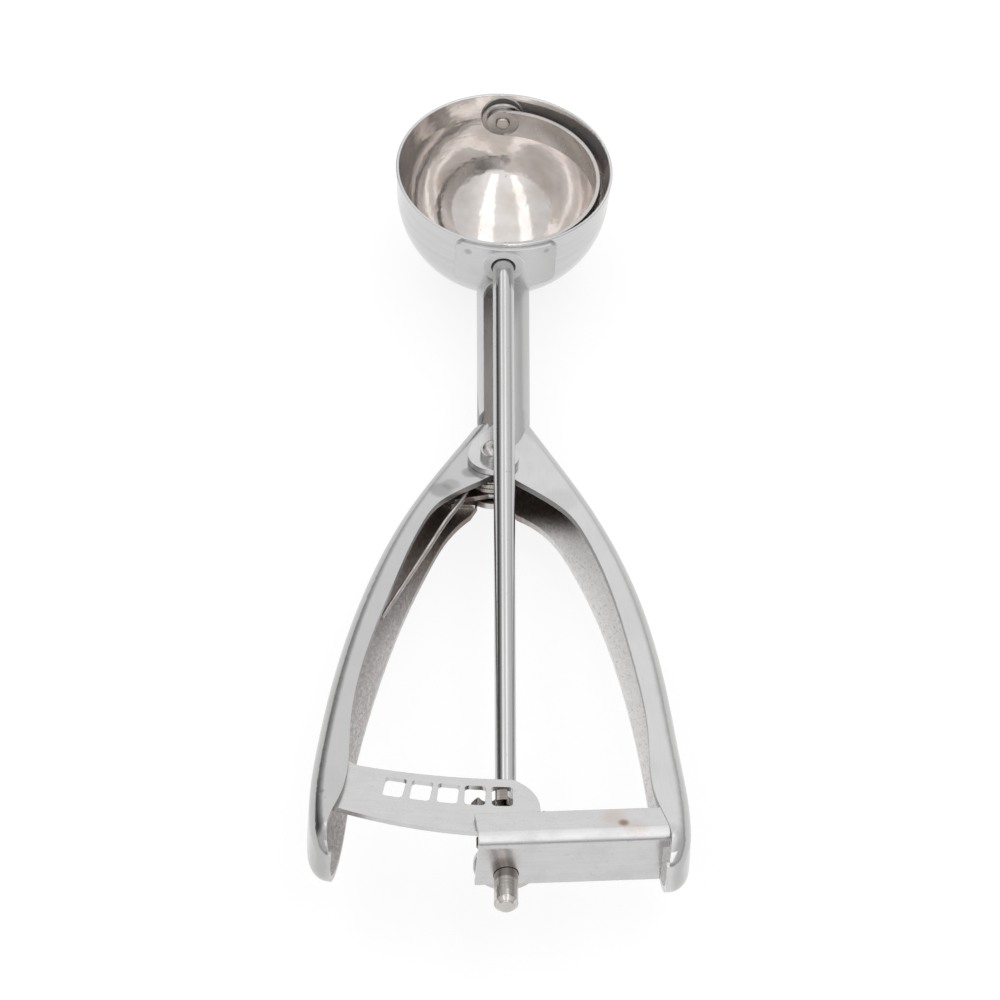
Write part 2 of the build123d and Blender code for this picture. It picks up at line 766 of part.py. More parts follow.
export_step(rack.part, "parts/rack.step")

# housing: top plate beside the rack, bent down into an end plate with the tail's hole
yaw = math.radians(housing_yaw)
run = handle_plane.x_dir * math.cos(yaw) + handle_plane.y_dir * math.sin(yaw)
span = handle_plane.y_dir * math.cos(yaw) - handle_plane.x_dir * math.sin(yaw)
housing_plane = Plane(
    origin=handle_plane.from_local_coords(Vector(housing_left, housing_far, housing_top)),
    x_dir=span, z_dir=run,
)
end_length = math.hypot(housing_lean, housing_depth)
lean_a, lean_b = housing_lean / end_length, -housing_depth / end_length
inner_step = (1 + lean_a) / -lean_b * housing_sheet
with BuildPart() as gear_housing:
    with BuildSketch(housing_plane):
        with BuildLine():
            Polyline(
                (0, 0), (housing_top_width, 0), (housing_top_width, -housing_sheet),
                (inner_step, -housing_sheet),
                (housing_lean - lean_b * housing_sheet,
                 -housing_depth + lean_a * housing_sheet),
                (housing_lean, -housing_depth), (0, 0),
            )
        make_face()
        fillet(vertices().filter_by(lambda p: abs(p.X) + abs(p.Y) < 0.01), housing_bend)
        fillet(
            vertices().filter_by(
                lambda p: abs(p.X - inner_step) < 0.01 and abs(p.Y + housing_sheet) < 0.01
            ),
            housing_bend - housing_sheet,
        )
    extrude(amount=1.5 * through)
    add(Pos(-weld_gap, 0, 0) * fixed_side, mode=Mode.SUBTRACT)
    with BuildSketch(Plane.XZ.offset(-star_far)):
        Circle(tail_radius + tail_hole_gap)
    extrude(amount=star_far - tail_end, mode=Mode.SUBTRACT)
gear_housing.part.label = "gear_housing"
export_step(gear_housing.part, "parts/gear_housing.step")
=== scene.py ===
import math

import bmesh
import bpy
from mathutils import Matrix, Vector


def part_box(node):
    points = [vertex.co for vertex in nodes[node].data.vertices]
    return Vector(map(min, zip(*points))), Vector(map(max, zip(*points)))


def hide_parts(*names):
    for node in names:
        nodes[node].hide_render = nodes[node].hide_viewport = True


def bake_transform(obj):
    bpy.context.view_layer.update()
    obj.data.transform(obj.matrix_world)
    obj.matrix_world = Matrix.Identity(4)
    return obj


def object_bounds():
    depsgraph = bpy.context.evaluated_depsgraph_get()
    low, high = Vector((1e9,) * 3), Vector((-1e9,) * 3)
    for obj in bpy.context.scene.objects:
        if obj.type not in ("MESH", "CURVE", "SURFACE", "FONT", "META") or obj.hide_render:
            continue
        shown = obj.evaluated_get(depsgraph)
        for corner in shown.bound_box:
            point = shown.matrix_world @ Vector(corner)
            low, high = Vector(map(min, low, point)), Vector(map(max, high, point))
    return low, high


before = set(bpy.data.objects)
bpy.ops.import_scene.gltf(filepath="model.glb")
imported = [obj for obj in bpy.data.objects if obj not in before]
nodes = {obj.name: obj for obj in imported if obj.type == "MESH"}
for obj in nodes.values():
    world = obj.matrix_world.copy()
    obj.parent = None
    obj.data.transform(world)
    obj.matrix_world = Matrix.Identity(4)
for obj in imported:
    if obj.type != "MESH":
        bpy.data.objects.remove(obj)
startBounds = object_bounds()

mm = 0.001
forward = Vector((0.0, 1.0, 0.0))

# the plane of the two handles' front faces, which climbs away from the bowl
grip = {"pivot": (-1.75 * mm, -67.0 * mm, -5.9 * mm), "tilt": 7.9}

tilt = math.radians(grip["tilt"])
gripUp = Vector((0.0, math.sin(tilt), math.cos(tilt)))
gripAlong = Vector((0.0, -math.cos(tilt), math.sin(tilt)))
gripLevel = Vector(grip["pivot"]).dot(gripUp)
gripStart = Vector(grip["pivot"]).dot(gripAlong)


def gripPoint(u, v, w):
    # millimetres from the pivot: right, towards the bowl and out of the front face
    return Vector(grip["pivot"]) + Vector((u * mm, 0, 0)) - gripAlong * v * mm + gripUp * w * mm


def srgb(hexColour):
    channels = [int(hexColour[i:i + 2], 16) / 255 for i in (1, 3, 5)]
    linear = [c / 12.92 if c <= 0.04045 else ((c + 0.055) / 1.055) ** 2.4 for c in channels]
    return (*linear, 1.0)


def addNode(tree, kind, inputs=(), **settings):
    # inputs pairs each socket's name or index with a value or with another node's output
    node = tree.nodes.new(kind)
    for key, value in settings.items():
        setattr(node, key, value)
    for socket, value in dict(inputs).items():
        if isinstance(value, bpy.types.NodeSocket):
            tree.links.new(value, node.inputs[socket])
        else:
            node.inputs[socket].default_value = value
    return node


def newMaterial(name):
    material = bpy.data.materials.new(name)
    material.use_nodes = True
    tree = material.node_tree
    tree.nodes.clear()
    return material, tree


def grain(tree, place, sizes, detail=3.0, turn=(0.0, 0.0, 0.0), low=0.35, high=0.65):
    # a noise whose features are sizes millimetres long along each axis, spread to 0..1
    # a pixel is about 0.19 mm, and polishing lines and tool rings are finer on real steel, so
    # they are drawn 0.2 to 0.5 mm wide
    mapping = addNode(
        tree, "ShaderNodeMapping",
        {"Vector": place.outputs["Object"], "Scale": [s * mm for s in sizes], "Rotation": turn},
        vector_type="TEXTURE",
    )
    noise = addNode(
        tree, "ShaderNodeTexNoise",
        {"Vector": mapping.outputs["Vector"], "Scale": 1.0, "Detail": detail},
    )
    spread = addNode(
        tree, "ShaderNodeMapRange", {"Value": noise.outputs["Fac"], 1: low, 2: high}
    )
    return spread.outputs["Result"]


def along(tree, source, direction, low, high, fromLow=0.0, toHigh=1.0):
    # how far a point or a normal lies along a direction, as a soft step
    dot = addNode(
        tree, "ShaderNodeVectorMath", {0: source, 1: direction}, operation="DOT_PRODUCT"
    )
    step = addNode(
        tree, "ShaderNodeMapRange",
        {"Value": dot.outputs["Value"], 1: low, 2: high, 3: fromLow, 4: toHigh},
        interpolation_type="SMOOTHSTEP",
    )
    return step.outputs["Result"]


def near(tree, place, centre, radius, core=0.5):
    # 1 within the core's share of the radius, falling to 0 at radius millimetres
    gap = addNode(
        tree, "ShaderNodeVectorMath", {0: place.outputs["Object"], 1: centre},
        operation="DISTANCE",
    )
    step = addNode(
        tree, "ShaderNodeMapRange",
        {"Value": gap.outputs["Value"], 1: radius * core * mm, 2: radius * mm, 3: 1.0, 4: 0.0},
        interpolation_type="SMOOTHSTEP",
    )
    return step.outputs["Result"]


def overlap(tree, first, *others):
    # where all the masks meet; a number among them weakens the result
    for other in others:
        both = addNode(tree, "ShaderNodeMath", {0: first, 1: other}, operation="MULTIPLY")
        first = both.outputs["Value"]
    return first


# the Mix node's sockets for colours and for numbers: under, over, result
mixSockets = {"RGBA": (6, 7, 2), "FLOAT": (2, 3, 0)}


def layered(tree, data, base, *coats):
    # lays each coat, (mask, share, value), over what is under it
    under, over, result = mixSockets[data]
    for mask, share, value in coats:
        low, high = (srgb(v) if isinstance(v, str) else v for v in (base, value))
        mix = addNode(
            tree, "ShaderNodeMix", {0: overlap(tree, mask, share), under: low, over: high},
            data_type=data,
        )
        base = mix.outputs[result]
    return base


# sharp edges are rounded in the shading by radius millimetres and rubbed towards a pale grey
edgeWear = {"radius": 0.15, "samples": 4, "bent": 0.86, "flat": 0.99, "share": 0.6,
            "colour": "#dadada"}


def finishMetal(material, tree, colour, roughness, reliefs, metallic=1.0):
    # reliefs lists (mask, height in millimetres)
    # a metallic value under 1 isn't bare steel's: it is chosen for the surface's tone
    last = addNode(
        tree, "ShaderNodeBevel", {"Radius": edgeWear["radius"] * mm},
        samples=edgeWear["samples"],
    )
    flat = addNode(tree, "ShaderNodeNewGeometry")
    bend = addNode(
        tree, "ShaderNodeVectorMath", {0: last.outputs["Normal"], 1: flat.outputs["Normal"]},
        operation="DOT_PRODUCT",
    )
    rubbed = addNode(
        tree, "ShaderNodeMapRange",
        {"Value": bend.outputs["Value"], 1: edgeWear["bent"], 2: edgeWear["flat"],
         3: edgeWear["share"], 4: 0.0},
    )
    for mask, height in reliefs:
        last = addNode(
            tree, "ShaderNodeBump",
            {"Height": mask, "Strength": 1.0, "Distance": height * mm,
             "Normal": last.outputs["Normal"]},
        )
    shader = addNode(
        tree, "ShaderNodeBsdfPrincipled",
        {
            "Base Color": layered(
                tree, "RGBA", colour, (rubbed.outputs["Result"], 1.0, edgeWear["colour"])
            ),
            "Roughness": roughness, "Metallic": metallic, "Normal": last.outputs["Normal"],
        },
    )
    addNode(tree, "ShaderNodeOutputMaterial", {"Surface": shader.outputs["BSDF"]})
    return material


def assign(material, *names):
    for name in names:
        nodes[name].data.materials.clear()
        nodes[name].data.materials.append(material)


# pressed stainless sheet: buffed outside, so it mirrors softly, and dull and pale in the trough
# a finish is (share, colour), and levels are millimetres over the plates' front faces
handleSteel = {
    "polish": {"sizes": (0.5, 26.0, 0.5), "detail": 4.0},
    "cloud": {"sizes": (7.0, 13.0, 7.0), "detail": 2.0, "low": 0.45, "high": 0.75},
    "scratch": {"sizes": (0.22, 5.0, 0.22), "detail": 2.0, "turn": (0, 0, 0.35),
                "low": 0.66, "high": 0.74},
    "scuff": {"sizes": (0.5, 1.1, 0.5), "detail": 4.0, "low": 0.42, "high": 0.66},
    "crease": {"sizes": (0.3, 2.6, 0.3), "detail": 3.0, "low": 0.55, "high": 0.72},
    "creaseTurn": (0.4, 0.3),
    "worn": (0.12, "#bdbdbc"), "smudge": (0.22, "#adacaa"), "scratched": (0.2, "#adacaa"),
    # flankShade is painted shade: the plates' outward-facing rounded flanks are darkened
    "flankShade": (0.7, "#b2b2b1"), "creased": (0.45, "#8f8a88"),
    # markAndShadow colours the dark spots: real marks and, on the lever, painted shade
    "markAndShadow": "#6d6b69", "sheared": "#8c8a88", "insideDark": "#8a7d75",
    "scuffShares": (0.1, 0.55),
    "roughness": (0.13, 0.20), "sinkRoughness": 0.4, "insideRoughness": 0.42,
    "shearedRoughness": 0.34,
    "liningTop": (-1.36, -1.26), "edgeFoot": (-1.3, -1.2), "edgeTop": (-0.08, 0.02),
    "liningFacing": (0.15, 0.35), "edgeFacing": (0.25, 0.45), "flankShadeFacing": (0.12, 0.6),
    "polishRelief": 0.0012, "scratchRelief": 0.0015, "scuffRelief": 0.04, "sinkRelief": -0.1,
}
# warmFrom and warmTo are millimetres from the pivot, between the dark and the pale lining
# the right handle's near-white, barely metallic lining is painted light; the left handle's darker
# outside and darker lining are painted shade, and its longer dark stretch by the pivot is partly
# painted shade from the spring
rightHandle = {
    "outside": "#d4d4d4", "warmFrom": 6.0, "warmTo": 15.0,
    "inside": "#f2f0ef", "insideScuff": "#ffffff", "insideMetal": 0.08,
}
leftHandle = {
    "outside": "#c5c5c5", "warmFrom": 14.0, "warmTo": 46.0,
    "inside": "#cfcbca", "insideScuff": "#ece9e8", "insideMetal": 0.4,
}
# the rolled neck, its bore and the boss round the shaft's hole, in millimetres
neck = {
    "axis": (0.4, -9.5), "boreEnd": (-55.0, -54.0), "boreFacing": (-3.0, -2.0),
    # the bore's pale, barely metallic tone is painted light that lifts the shade inside the neck
    "boreColour": "#e4e0dd", "boreMetal": 0.3,
    "rolledFrom": (-66.0, -58.0), "rolledRoughness": 0.28, "rolledMetal": 0.76,
    "boss": (0.0, -21.2, 0.0), "bossRadius": 4.1, "bossCore": 0.95, "bossColour": "#e6e6e6",
    "bossRoughness": 0.5, "bossMetal": 0.5,
}


def overFront(tree, point, levels, fromLow=0.0, toHigh=1.0):
    low, high = (gripLevel + level * mm for level in levels)
    return along(tree, point, gripUp, low, high, fromLow, toHigh)


def boreMask(tree, point, normal):
    # the neck's bore is the part of it that faces its own axis
    x, z = neck["axis"]
    offset = addNode(
        tree, "ShaderNodeVectorMath", {0: point, 1: (x * mm, 0, z * mm)}, operation="SUBTRACT"
    )
    across = addNode(
        tree, "ShaderNodeVectorMath", {0: offset.outputs["Vector"], 1: (1, 0, 1)},
        operation="MULTIPLY",
    )
    out = addNode(
        tree, "ShaderNodeVectorMath", {0: across.outputs["Vector"], 1: normal},
        operation="DOT_PRODUCT",
    )
    low, high = neck["boreFacing"]
    facing = addNode(
        tree, "ShaderNodeMapRange",
        {"Value": out.outputs["Value"], 1: low * mm, 2: high * mm, 3: 1.0, 4: 0.0},
    )
    low, high = neck["boreEnd"]
    return overlap(
        tree, facing.outputs["Result"], along(tree, point, forward, low * mm, high * mm)
    )


def makeHandleSteel(name, side, handle, darkSpots):
    # side is 1 for the right handle, which carries the neck, and -1 for the left one
    material, tree = newMaterial(name)
    place = addNode(tree, "ShaderNodeTexCoord")
    point, normal = place.outputs["Object"], place.outputs["Normal"]
    outward = Vector((side, 0, 0))
    polish, cloud, scratch, scuff = (
        grain(tree, place, **handleSteel[key]) for key in ("polish", "cloud", "scratch", "scuff")
    )
    lean, swing = handleSteel["creaseTurn"]
    crease = grain(tree, place, turn=(lean, 0, side * swing), **handleSteel["crease"])

    inside = overlap(
        tree, overFront(tree, point, handleSteel["liningTop"], 1.0, 0.0),
        along(tree, normal, gripUp - outward, *handleSteel["liningFacing"]),
    )
    bore = 0.0
    if side > 0:
        bore = boreMask(tree, point, normal)
        either = addNode(tree, "ShaderNodeMath", {0: inside, 1: bore}, operation="MAXIMUM")
        inside = either.outputs["Value"]
    edge = overlap(
        tree, overFront(tree, point, handleSteel["edgeFoot"]),
        overFront(tree, point, handleSteel["edgeTop"], 1.0, 0.0),
        along(tree, normal, -outward, *handleSteel["edgeFacing"]),
    )
    # painted shade darkens the faces that turn outwards
    flankShade = along(tree, normal, outward, *handleSteel["flankShadeFacing"])
    far = along(
        tree, point, gripAlong, gripStart + handle["warmFrom"] * mm,
        gripStart + handle["warmTo"] * mm,
    )

    colour = layered(
        tree, "RGBA", handle["outside"], (polish, *handleSteel["worn"]),
        (cloud, *handleSteel["smudge"]), (scratch, *handleSteel["scratched"]),
        (flankShade, *handleSteel["flankShade"]),
    )
    smooth, dull = handleSteel["roughness"]
    rough = layered(tree, "FLOAT", smooth, (cloud, 1.0, dull))
    dents = []
    # each spot is darkened, duller and sunk; on the lever some are painted shade
    for spot, radius, strength in darkSpots:
        darkSpot = overlap(tree, near(tree, place, spot, radius), strength)
        dents.append((darkSpot, handleSteel["sinkRelief"] * strength))
        colour = layered(tree, "RGBA", colour, (darkSpot, 1.0, handleSteel["markAndShadow"]))
        rough = layered(tree, "FLOAT", rough, (darkSpot, 1.0, handleSteel["sinkRoughness"]))

    close, away = handleSteel["scuffShares"]
    lining = layered(
        tree, "RGBA", handleSteel["insideDark"], (far, 1.0, handle["inside"]),
        (scuff, layered(tree, "FLOAT", close, (far, 1.0, away)), handle["insideScuff"]),
        (crease, *handleSteel["creased"]), (bore, 1.0, neck["boreColour"]),
    )
    colour = layered(
        tree, "RGBA", colour, (inside, 1.0, lining), (edge, 1.0, handleSteel["sheared"])
    )
    rough = layered(
        tree, "FLOAT", rough, (inside, 1.0, handleSteel["insideRoughness"]),
        (edge, 1.0, handleSteel["shearedRoughness"]),
    )
    metal = layered(
        tree, "FLOAT", 1.0, (inside, far, handle["insideMetal"]), (bore, 1.0, neck["boreMetal"])
    )
    if side > 0:
        # the rolled neck is duller than the flat plates, and the boss more so
        low, high = neck["rolledFrom"]
        rolled = along(tree, point, forward, low * mm, high * mm)
        boss = near(
            tree, place, Vector(neck["boss"]) * mm, neck["bossRadius"], neck["bossCore"]
        )
        colour = layered(tree, "RGBA", colour, (boss, 1.0, neck["bossColour"]))
        rough = layered(
            tree, "FLOAT", rough, (rolled, 1.0, neck["rolledRoughness"]),
            (boss, 1.0, neck["bossRoughness"]),
        )
        metal = layered(
            tree, "FLOAT", metal, (rolled, 1.0, overlap(tree, metal, neck["rolledMetal"])),
            (boss, 1.0, neck["bossMetal"]),
        )
    reliefs = [
        (overlap(tree, scuff, inside), handleSteel["scuffRelief"]),
        (polish, handleSteel["polishRelief"]), (scratch, handleSteel["scratchRelief"]), *dents,
    ]
    return finishMetal(material, tree, colour, rough, reliefs, metal)


# darker places on the handles: centre, radius in millimetres, strength; some on the lever are
# painted shade
leverMarksAndShadows = [
    # two pressed dimples, sunk by bump, whose dark tone is partly painted shade
    (gripPoint(-32.6, -104.0, -1.4), 1.5, 0.95), (gripPoint(-32.2, -106.0, -1.2), 1.3, 0.9),
    (gripPoint(-9.9, -9.8, 0.0), 2.9, 0.4), (gripPoint(-8.0, -8.0, 0.0), 2.2, 0.3),
    # painted shadow under the edge of the pivot's raised ear
    (gripPoint(-4.4, -4.1, 0.0), 2.0, 0.45),
]
fixedMarks = [
    (gripPoint(12.4, -11.8, 0.0), 4.5, 0.12), (gripPoint(31.5, -113.0, 0.0), 3.0, 0.15),
    (Vector((-6.7, -19.8, 2.7)) * mm, 1.0, 0.4), (Vector((7.8, -19.3, 3.3)) * mm, 0.9, 0.4),
]
assign(makeHandleSteel("BuffedStainlessSheetRight", 1, rightHandle, fixedMarks), "fixed_handle")
assign(makeHandleSteel("BuffedStainlessSheetLeft", -1, leftHandle, leverMarksAndShadows), "lever_handle")

# spun stainless cup: a mirror outside, warmer and slightly cloudy inside, with fine rings
bowlSteel = {
    "ring": {"sizes": (30.0, 30.0, 0.35)},
    "cloud": {"sizes": (6.0, 6.0, 4.0), "low": 0.4, "high": 0.7},
    "pit": {"sizes": (0.6, 0.6, 0.6), "detail": 1.0, "low": 0.73, "high": 0.8},
    # the lining is paler and less metallic than the outside, which is painted light that lifts
    # its dark reflections
    "outside": "#d2d2d2", "worn": (0.4, "#c0c0bf"), "inside": "#e6e1de",
    "stain": (0.6, "#cbc1ba"), "pitted": (0.4, "#8f8a86"),
    "outsideRoughness": 0.11, "insideRoughness": 0.08, "cloudRoughness": (0.3, 0.2),
    "insideMetal": 0.86, "facing": (-12.0, -4.0),
    "ringRelief": 0.0009, "cloudRelief": 0.03, "pitRelief": 0.004,
}


def makeBowlSteel():
    material, tree = newMaterial("SpunStainlessCup")
    place = addNode(tree, "ShaderNodeTexCoord")
    ring, cloud, pit = (
        grain(tree, place, **bowlSteel[key]) for key in ("ring", "cloud", "pit")
    )
    # the lining faces the bowl's centre, which is the origin
    radial = addNode(
        tree, "ShaderNodeVectorMath", {0: place.outputs["Object"], 1: place.outputs["Normal"]},
        operation="DOT_PRODUCT",
    )
    low, high = bowlSteel["facing"]
    inside = addNode(
        tree, "ShaderNodeMapRange",
        {"Value": radial.outputs["Value"], 1: low * mm, 2: high * mm, 3: 1.0, 4: 0.0},
    ).outputs["Result"]
    lining = layered(tree, "RGBA", bowlSteel["inside"], (cloud, *bowlSteel["stain"]))
    colour = layered(
        tree, "RGBA", bowlSteel["outside"], (ring, *bowlSteel["worn"]), (inside, 1.0, lining),
        (pit, *bowlSteel["pitted"]),
    )
    rough = layered(
        tree, "FLOAT", bowlSteel["outsideRoughness"],
        (inside, 1.0, bowlSteel["insideRoughness"]), (cloud, *bowlSteel["cloudRoughness"]),
    )
    metal = layered(tree, "FLOAT", 1.0, (inside, 1.0, bowlSteel["insideMetal"]))
    reliefs = [
        (ring, bowlSteel["ringRelief"]), (cloud, bowlSteel["cloudRelief"]),
        (pit, bowlSteel["pitRelief"]),
    ]
    return finishMetal(material, tree, colour, rough, reliefs, metal)


assign(makeBowlSteel(), "bowl")


def makeSteel(name, steel, turn=(0, 0, 0), coats=()):
    # each grain tints and raises the steel, and the one named roughBy sets its roughness
    material, tree = newMaterial(name)
    place = addNode(tree, "ShaderNodeTexCoord")
    colour, reliefs, masks = steel["colour"], [], {}
    for key, made in steel["grains"].items():
        sizes = {k: made[k] for k in ("sizes", "detail", "low", "high") if k in made}
        masks[key] = grain(tree, place, turn=turn if made.get("turned") else (0, 0, 0), **sizes)
        if "tint" in made:
            colour = layered(tree, "RGBA", colour, (masks[key], *made["tint"]))
        if "relief" in made:
            reliefs.append((masks[key], made["relief"]))
    for makeMask, share, tint in coats:
        colour = layered(tree, "RGBA", colour, (makeMask(tree, place), share, tint))
    smooth, dull = steel["roughness"]
    rough = layered(tree, "FLOAT", smooth, (masks[steel["roughBy"]], 1.0, dull))
    return finishMetal(material, tree, colour, rough, reliefs)


# drawn stainless rod: die lines run down its length, so reflections are long and straight
rodSteel = {
    "colour": "#cbcbcb", "roughness": (0.05, 0.12), "roughBy": "line",
    "grains": {
        "line": {"sizes": (0.35, 60.0, 0.35), "detail": 4.0, "tint": (0.5, "#b4b3b2"),
                 "relief": 0.004},
        "nick": {"sizes": (0.5, 0.9, 0.5), "detail": 2.0, "low": 0.7, "high": 0.76,
                 "tint": (0.5, "#8d8b89"), "relief": 0.006},
    },
}
assign(makeSteel("DrawnStainlessRod", rodSteel), "shaft")

# blanked stainless strip with a satin grain, so reflections are soft
stripSteel = {
    "colour": "#d2d1d1", "roughness": (0.23, 0.33), "roughBy": "cloud",
    "grains": {
        "line": {"sizes": (14.0, 0.3, 0.5), "detail": 4.0, "turned": True,
                 "tint": (0.2, "#bfbebd"), "relief": 0.0012},
        "cloud": {"sizes": (5.0, 3.0, 5.0), "low": 0.42, "high": 0.7, "tint": (0.2, "#b2b1b0")},
        "dent": {"sizes": (0.9, 0.9, 0.9), "detail": 1.0, "low": 0.68, "high": 0.75,
                 "tint": (0.14, "#8f8d8b"), "relief": 0.006},
    },
}
warmTint = "#a59a90"
# discoloured places by the weld: centre, radius in millimetres, share, colour
heatCore = 0.2
heatSpots = [
    (gripPoint(23.2, -110.9, -0.05), 1.5, 0.85, "#7d6459"),
    (gripPoint(21.4, -109.4, -0.05), 3.6, 0.3, "#b7a08e"),
    (gripPoint(25.5, -112.0, -0.05), 3.2, 0.22, "#b7a08e"),
]


def spotMask(centre, radius):
    return lambda tree, place: near(tree, place, centre, radius, heatCore)


def everywhere(tree, place):
    return 1.0


heatCoats = [(spotMask(centre, radius), share, tint) for centre, radius, share, tint in heatSpots]
assign(makeSteel("SatinStainlessRack", stripSteel, (0, 0, -0.12)), "rack")
assign(makeSteel("SatinStainlessHousing", stripSteel, (0, 0, 0.1), heatCoats), "gear_housing")
assign(
    makeSteel("RolledStainlessScraper", stripSteel, coats=[(everywhere, 0.35, warmTint)]),
    "scraper",
)
assign(
    makeSteel("BlankedStainlessWasher", stripSteel, (0, 0, 0.8), [(everywhere, 0.2, warmTint)]),
    "far_washer", "near_washer", "thrust_washer",
)

# turned and milled steel: tool rings across the axis, warmer than the sheet
turnedSteel = {
    "colour": "#dcd8d4", "roughness": (0.01, 0.14), "roughBy": "ring",
    "grains": {
        "ring": {"sizes": (20.0, 0.28, 20.0), "detail": 2.0, "turned": True,
                 "tint": (0.4, "#8d847d"), "relief": 0.0025},
        "cloud": {"sizes": (2.5, 2.5, 2.5), "tint": (0.2, "#8d847d"), "relief": 0.03},
    },
}
# the pinion is painted dark, as shade in the housing's hole, up to this many millimetres outside
# the housing, and its tail is bright
pinionRootShade = {"reach": 1.3, "fade": 0.5, "share": 0.7, "colour": "#73675f"}
rootShadeTo = pinionRootShade["reach"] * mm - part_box("gear_housing")[0][1]


# painted shade on the pinion's root, fading out along the tail
def rootShadePart(tree, place):
    start = rootShadeTo - pinionRootShade["fade"] * mm
    return along(tree, place.outputs["Object"], -forward, start, rootShadeTo, 1.0, 0.0)


pinionCoats = [(rootShadePart, pinionRootShade["share"], pinionRootShade["colour"])]
assign(makeSteel("TurnedSteelPinion", turnedSteel, coats=pinionCoats), "pinion")
assign(makeSteel("TurnedSteelPin", turnedSteel), "scraper_pin")
assign(makeSteel("TurnedSteelBush", turnedSteel, (math.pi / 2, 0, 0)), "pivot_bush")

# cold-headed stainless rivet: a polished dome with shallow waves and dents
rivetSteel = {
    "colour": "#cfcccb", "roughness": (0.09, 0.20), "roughBy": "cloud",
    "grains": {
        "cloud": {"sizes": (1.6, 1.6, 1.6), "tint": (0.45, "#8f8c8a"), "relief": 0.03},
        "dent": {"sizes": (0.5, 0.5, 0.5), "detail": 1.0, "low": 0.62, "high": 0.72,
                 "relief": 0.01},
    },
}
assign(makeSteel("HeadedStainlessRivet", rivetSteel), "pivot_rivet")

# drawn spring wire: warmer than the sheet, with draw marks along the wire
wireSteel = {
    "colour": "#c6c1bd", "roughness": (0.24, 0.36), "roughBy": "line",
    "grains": {
        "line": {"sizes": (0.25, 6.0, 0.25), "turned": True, "tint": (0.6, "#8a837d"),
                 "relief": 0.006},
    },
}


def makeSpring(material):
    # the CAD's own wire; in the real scoop it winds up as the lever closes, but this copy keeps
    # the CAD's shape
    mesh = bpy.data.meshes.new("TorsionSpring")
    shape = bmesh.new()
    shape.from_mesh(nodes["return_spring"].data)
    shape.to_mesh(mesh)
    shape.free()
    mesh.materials.append(material)
    spring = bpy.data.objects.new("TorsionSpring", mesh)
    bpy.context.scene.collection.objects.link(spring)
    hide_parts("return_spring")
    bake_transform(spring)


makeSpring(makeSteel("DrawnSpringWire", wireSteel, (0, 0, -0.4)))
print("materials")

# what a user would change of the studio
view = {
    "centre": (-0.000815, -0.0835, 0.0), "right": (0.99884, -0.003, 0.04798),
    "elevation": 44.75, "lens": 1500.0, "sensor": 36.0, "frameWidth": 0.18737,
}
# mirrored is the floor's glow in the steel, where it is darker than to the camera
floor = {
    "size": 3.0, "colour": "#e6e6e6", "shade": "#8c8c8c", "glow": 0.76, "mirrored": 0.7,
    "gap": 0.00002,
}
# two long strip lights above the object, running from the front to the back
lamps = {
    "rightStrip": {"at": (0.27, -0.28, 1.0), "width": 0.30, "length": 3.0, "power": 1.6},
    "leftStrip": {"at": (-0.50, -0.28, 1.0), "width": 0.28, "length": 3.0, "power": 1.5},
}
# what the steel mirrors is a white tent, darker at its sides, its seam and its open front, with
# one nearly black panel; each pair is where a part starts and where it is whole, but over
# frontRise the front fades out
studio = {
    "soft": 1.0, "sides": (0.3, 0.7), "side": 0.26,
    "seamHeight": 0.08, "seamReach": 0.2, "seam": 0.2,
    "fronts": (0.4, 0.75), "frontRise": (0.16, 0.42), "front": 0.6,
    "card": (-0.70, 0.70, 0.12), "cardSpread": (0.82, 0.99), "cardDepth": 0.9,
}
white = (1, 1, 1, 1)


def seenDirectly(tree):
    # 1 for rays from the camera, in a mirror or through glass
    ray = addNode(tree, "ShaderNodeLightPath")
    seen = ray.outputs["Is Camera Ray"]
    for other in ("Is Glossy Ray", "Is Transmission Ray"):
        most = addNode(
            tree, "ShaderNodeMath", {0: seen, 1: ray.outputs[other]}, operation="MAXIMUM"
        )
        seen = most.outputs["Value"]
    return ray, seen


def makeFloor():
    # level, just under the object's lowest point, which is the bowl's: the handles hang above it
    height = startBounds[0][2]
    mesh = bpy.data.meshes.new("Floor")
    shape = bmesh.new()
    bmesh.ops.create_grid(
        shape, x_segments=1, y_segments=1, size=floor["size"] / 2,
        matrix=Matrix.Translation((0.0, 0.0, height - floor["gap"])),
    )
    shape.to_mesh(mesh)
    shape.free()
    plane = bpy.data.objects.new("Floor", mesh)
    bpy.context.scene.collection.objects.link(plane)
    material, tree = newMaterial("PaleFloor")
    ray, seen = seenDirectly(tree)
    pale = addNode(tree, "ShaderNodeBsdfDiffuse", {"Color": srgb(floor["colour"])})
    shade = addNode(tree, "ShaderNodeBsdfDiffuse", {"Color": srgb(floor["shade"])})
    glow = addNode(
        tree, "ShaderNodeEmission",
        {"Color": white, "Strength": layered(
            tree, "FLOAT", floor["glow"],
            (ray.outputs["Is Glossy Ray"], 1.0, floor["mirrored"]),
        )},
    )
    both = addNode(
        tree, "ShaderNodeAddShader", {0: shade.outputs["BSDF"], 1: glow.outputs["Emission"]}
    )
    mix = addNode(
        tree, "ShaderNodeMixShader",
        {"Fac": seen, 1: pale.outputs["BSDF"], 2: both.outputs["Shader"]},
    )
    addNode(tree, "ShaderNodeOutputMaterial", {"Surface": mix.outputs["Shader"]})
    mesh.materials.append(material)
    print("floor", height)


makeFloor()


